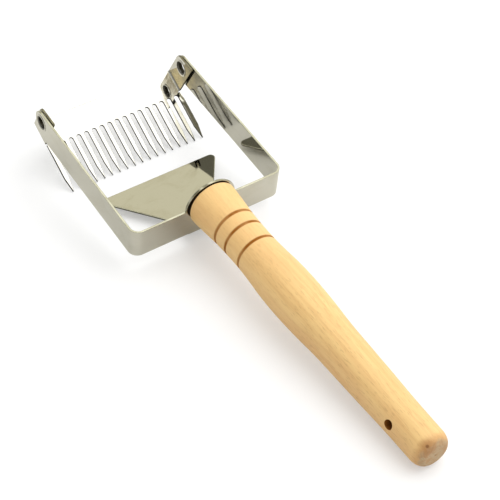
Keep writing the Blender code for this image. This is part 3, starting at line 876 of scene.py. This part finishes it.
def beech_grain(nodes, place, across):
    """Long grain: warm patches, streaks, ring lines, fibre and flecks. Gives colour, fibre and flecks."""
    patches = nodes.noise(nodes.stretched(place, (60.0, 60.0, 14.0)), 1.0, 3.0, 0.55, 0.3)
    fibre = nodes.noise(nodes.stretched(place, (1500.0, 1500.0, 45.0)), 1.0, 3.0, 0.6)
    streaks = nodes.noise(nodes.stretched(place, (420.0, 420.0, 9.0)), 1.0, 4.0, 0.62, 0.4)
    flecks = nodes.noise(nodes.stretched(place, (1900.0, 1900.0, 260.0)), 1.0, 1.0, 0.5)
    figure = nodes.math("MULTIPLY_ADD", patches, 0.012, across)
    rings = nodes.math("SINE", nodes.math("MULTIPLY", figure, 2 * math.pi / (LINE_SPACING * MM)))
    colour = nodes.mix(nodes.ramp(patches, 0.35, 0.68), (0.88, 0.592, 0.245), (0.83, 0.515, 0.215))
    colour = nodes.tint(colour, nodes.ramp(streaks, 0.42, 0.72), 0.46, (0.70, 0.39, 0.135))
    colour = nodes.tint(colour, nodes.ramp(rings, 0.1, 1.0), 0.16, (0.72, 0.42, 0.155))
    colour = nodes.tint(colour, nodes.ramp(fibre, 0.48, 0.76), 0.42, (0.64, 0.36, 0.135))
    colour = nodes.tint(colour, nodes.ramp(flecks, 0.58, 0.70), 0.34, (0.50, 0.27, 0.10))
    return colour, fibre, flecks


def groove_scorch(nodes, place, along):
    """How burnt the wood is: most at the bottom of each groove, fading over both its shoulders."""
    scorch = None
    for groove in GROOVES:
        away = nodes.math("ABSOLUTE", nodes.math("SUBTRACT", along, groove * MM))
        near = nodes.ramp(away, GROOVE_HALF_WIDTH * 1.7 * MM, GROOVE_HALF_WIDTH * 0.6 * MM)
        scorch = near if scorch is None else nodes.math("MAXIMUM", scorch, near)
    uneven = nodes.ramp(nodes.noise(place, 130.0, 3.0), 0.3, 0.7, 0.70, 1.0)
    return nodes.math("MULTIPLY", scorch, uneven)


def add_end_grain(nodes, place, along, colour):
    """A browner shoulder, and on the end face darker, greyer wood with year rings round the pith."""
    flat = nodes.stretched(nodes.away(place, Vector(PITH) * MM), (1.0, 1.0, 0.0))
    year = nodes.math("MULTIPLY_ADD", nodes.noise(place, 150.0, 2.0), 0.0045, nodes.length(flat))
    year_rings = nodes.math("SINE", nodes.math("MULTIPLY", year, 2 * math.pi / (YEAR_SPACING * MM)))
    ragged = nodes.math("MULTIPLY_ADD", nodes.noise(place, 330.0, 4.0, 0.6), 0.0035, along)
    on_end = nodes.ramp(ragged, (HANDLE_LENGTH - 1.2) * MM, (HANDLE_LENGTH + 1.2) * MM)
    shoulder = nodes.ramp(ragged, (HANDLE_LENGTH - 4.5) * MM, (HANDLE_LENGTH - 0.5) * MM, 0.0, 0.55)
    colour = nodes.mix(shoulder, colour, (0.50, 0.245, 0.085))
    stain = nodes.ramp(nodes.noise(place, 260.0, 3.0, 0.6, 0.6), 0.34, 0.68)
    end_colour = nodes.mix(stain, (0.48, 0.345, 0.195), (0.45, 0.245, 0.10))
    end_colour = nodes.mix(nodes.ramp(year_rings, -0.4, 1.0, 0.0, 0.28), end_colour, (0.30, 0.18, 0.09))
    return nodes.mix(on_end, colour, end_colour)


def add_pin_knot(nodes, place, colour):
    """A small dark knot on the shoulder of the end, with a brown halo."""
    to_knot = nodes.length(nodes.away(place, Vector(KNOT) * MM))
    halo = nodes.math("MULTIPLY_ADD", nodes.noise(place, 420.0, 3.0), 0.002, to_knot)
    colour = nodes.mix(nodes.ramp(halo, 0.0065, 0.0015, 0.0, 0.55), colour, (0.36, 0.145, 0.035))
    return nodes.mix(nodes.ramp(to_knot, 0.0011, 0.0004, 0.0, 0.8), colour, (0.20, 0.075, 0.018))


def inside_hang_hole(nodes, place):
    """One on the wall of the hang hole, and nothing beyond its mouths."""
    from_hole = nodes.away(place, (0.0, 0.0, HANG_HOLE_AT * MM))
    turned = nodes.stretched(from_hole, (1.0, 1.0, 1.0), (0.0, 0.0, HANG_HOLE_TURN))
    to_axis = nodes.length(nodes.stretched(turned, (0.0, 1.0, 1.0)))
    return nodes.ramp(to_axis, (HANG_HOLE_RADIUS + 0.12) * MM, (HANG_HOLE_RADIUS - 0.02) * MM)


def make_beech():
    """Fine-sanded beech with scorched grooves, end grain and a pin knot, and painted shade in the hang hole
    and on the front face against the lug.
    """
    nodes = MaterialNodes("beech_wood_turned")
    into = (HEAD @ on_handle_axis(-HANDLE_START)).inverted()
    place = nodes.add("Mapping", {"Vector": nodes.place(), "Location": into.to_translation(),
                                  "Rotation": into.to_euler()})
    across, _, along = nodes.split(place)
    colour, fibre, flecks = beech_grain(nodes, place, across)
    paler_forward = nodes.ramp(along, 110.0 * MM, 20.0 * MM, 0.0, 0.35)
    colour = nodes.mix(paler_forward, colour, (1.0, 0.64, 0.26))
    # Painted shade: the front face, in the gap against the lug, almost black.
    lug_gap_shade = nodes.ramp(along, 0.4 * MM, 0.15 * MM)
    colour = nodes.mix(lug_gap_shade, colour, (0.07, 0.032, 0.012))
    scorch = groove_scorch(nodes, place, along)
    colour = nodes.mix(scorch, colour, (0.33, 0.115, 0.016))
    colour = add_end_grain(nodes, place, along, colour)
    colour = add_pin_knot(nodes, place, colour)
    bore_shade = inside_hang_hole(nodes, place)
    # Painted shade: the hang hole's wall dark brown.
    colour = nodes.mix(bore_shade, colour, (0.26, 0.085, 0.009))
    roughness = nodes.math("MULTIPLY_ADD", fibre, 0.16, 0.36)
    roughness = nodes.math("MULTIPLY_ADD", scorch, 0.2, roughness)
    relief = nodes.math("ADD", fibre, nodes.math("MULTIPLY", flecks, 0.6))
    gloss = nodes.math("MULTIPLY_ADD", nodes.math("MAXIMUM", bore_shade, scorch), -0.44, 0.45)
    return nodes.finish(Base_Color=colour, Roughness=roughness, Specular_IOR_Level=gloss,
                        Normal=nodes.bump(relief, 0.00003))


def make_floor_paper():
    """Matt white paper that glows a little to the camera and looks greyer in the steel."""
    nodes = MaterialNodes("studio_paper")
    colour = nodes.mix(nodes.noise(nodes.place(), 40.0, 2.0), (0.76, 0.76, 0.755), (0.775, 0.775, 0.77))
    mirrored_look = nodes.add("LightPath", {}, output="Is Glossy Ray")
    colour = nodes.mix(mirrored_look, colour, (0.73, 0.715, 0.63))
    seen = nodes.add("LightPath", {}, output="Is Camera Ray")
    return nodes.finish(Base_Color=nodes.mix(seen, colour, (0.62, 0.62, 0.615)), Roughness=0.9,
                        Specular_IOR_Level=0.05, Emission_Color=(1.0, 1.0, 0.995),
                        Emission_Strength=nodes.math("MULTIPLY", seen, 0.36))


# ---------------------------------------------------------------- studio

def make_floor():
    ground = bmesh.new()
    bmesh.ops.create_circle(ground, cap_ends=True, segments=96, radius=FLOOR_RADIUS)
    floor = to_object("studio_floor", ground)
    floor.data.materials.append(make_floor_paper())
    floor.location.z = -FLOOR_GAP


def mirrored_tones(nodes, direction):
    """What the steel mirrors, by direction: pale at the horizon, then a band ahead, and others above.

    The bands stand for no real room. They were set by trial, to give each steel face its tone from the
    camera's side. Of the narrow ones, where x is about -0.4, the tines mirror those below low_view, and
    the inner face of the right ear those above it.
    """
    x, y, z = nodes.split(direction)

    def band(value, edges, first, second):
        return nodes.mix(nodes.ramp(value, *edges), first, second)

    black = (0.0, 0.0, 0.0)
    grey_ends, white_starts, low_view = (-0.4095, -0.4065), (-0.402, -0.397), (-0.274, -0.269)
    above = band(x, grey_ends, (0.34, 0.335, 0.28), (1.9, 1.60, 0.88))
    white = band(y, low_view, nodes.ramp(x, *grey_ends), nodes.ramp(x, *white_starts))
    above = nodes.mix(white, above, (2.4, 2.38, 2.2))
    brown = band(x, (-0.392, -0.388), nodes.ramp(x, -0.404, -0.400), black)
    brown = band(y, (-0.274, -0.268), black, brown)
    above = nodes.mix(brown, above, (0.28, 0.22, 0.10))
    above = band(x, (-0.28, -0.18), above, (0.24, 0.225, 0.16))
    above = band(x, (0.06, 0.26), above, (2.1, 2.08, 2.0))
    ahead = band(x, (-0.15, 0.25), (0.20, 0.195, 0.145), (0.84, 0.80, 0.58))
    upper = band(z, (0.70, 0.80), ahead, above)
    return band(z, (0.12, 0.45), (0.95, 0.95, 0.94), upper)


def make_world():
    """Plain white to the camera, the banded room in mirrors, and a fill that is stronger from the right."""
    world = bpy.data.worlds.new("studio")
    bpy.context.scene.world = world
    world.use_nodes = True
    world.node_tree.nodes.clear()
    nodes = Nodes(world.node_tree)
    direction = nodes.add("TexCoord", {}, output="Generated")
    mirrored_room = nodes.add("Background", {"Color": mirrored_tones(nodes, direction)})
    fill = nodes.mix(nodes.ramp(nodes.split(direction)[0], -0.8, 0.8), (0.55, 0.55, 0.55), (1.34, 1.34, 1.34))
    soft_fill = nodes.add("Background", {"Color": fill})
    plain = nodes.add("Background", {"Color": (1.0, 1.0, 1.0), "Strength": 1.05})
    glossy_ray = nodes.add("LightPath", {}, output="Is Glossy Ray")
    camera_ray = nodes.add("LightPath", {}, output="Is Camera Ray")
    chosen = nodes.add("MixShader", {0: glossy_ray, 1: soft_fill, 2: mirrored_room})
    chosen = nodes.add("MixShader", {0: camera_ray, 1: chosen, 2: plain})
    out = world.node_tree.nodes.new("ShaderNodeOutputWorld")
    nodes.set(out.inputs["Surface"], chosen)


def make_softbox():
    """The one lamp: a wide disc overhead, turned to the fork and not mirrored in the steel."""
    data = bpy.data.lights.new("overhead", "AREA")
    data.shape = "DISK"
    data.size = SOFTBOX_SIZE
    data.energy = SOFTBOX_POWER
    light = bpy.data.objects.new("overhead", data)
    bpy.context.scene.collection.objects.link(light)
    light.location = SOFTBOX_PLACE
    light.rotation_euler = Vector(SOFTBOX_PLACE).to_track_quat("Z", "Y").to_euler()
    light.visible_glossy = False


def make_camera():
    """The camera: above and behind the handle's left side, looking forward, down and to the right."""
    data = bpy.data.cameras.new("camera")
    data.sensor_width = CAMERA_SENSOR
    data.lens = CAMERA_LENS
    data.clip_start = 0.01
    camera = bpy.data.objects.new("camera", data)
    bpy.context.scene.collection.objects.link(camera)
    camera.matrix_world = HEAD @ at(*CAMERA_PLACE) @ Euler(CAMERA_TURN).to_matrix().to_4x4()
    bpy.context.scene.camera = camera


def build():
    steel = make_polished_steel()
    rim = make_cut_edge("buffed_rim_steel", (0.50, 0.49, 0.385), (0.38, 0.37, 0.28), 0.18)
    # Painted shade: near-black edge steel, standing in for the shade on the tine walls and in the middles of
    # the guide plate's cut edges.
    wall = make_cut_edge("painted_shade_wall_steel", (0.014, 0.013, 0.009), (0.008, 0.0075, 0.005), 0.7)
    ear_edge = make_cut_edge("sheared_ear_steel", (0.24, 0.225, 0.15), (0.13, 0.115, 0.07), 0.25)
    fastener = [make_fastener_steel()]
    make_frame_strap(steel, rim)
    make_guide_plate(steel, rim, wall)
    make_tine_comb(steel, wall, ear_edge)
    make_hinge_parts([make_rivet_steel()], fastener)
    make_screw_washer(fastener)
    make_handle_screw(fastener)
    make_handle([make_beech()])
    make_floor()
    make_world()
    make_softbox()
    make_camera()
    bpy.context.scene.view_settings.view_transform = "Standard"


build()
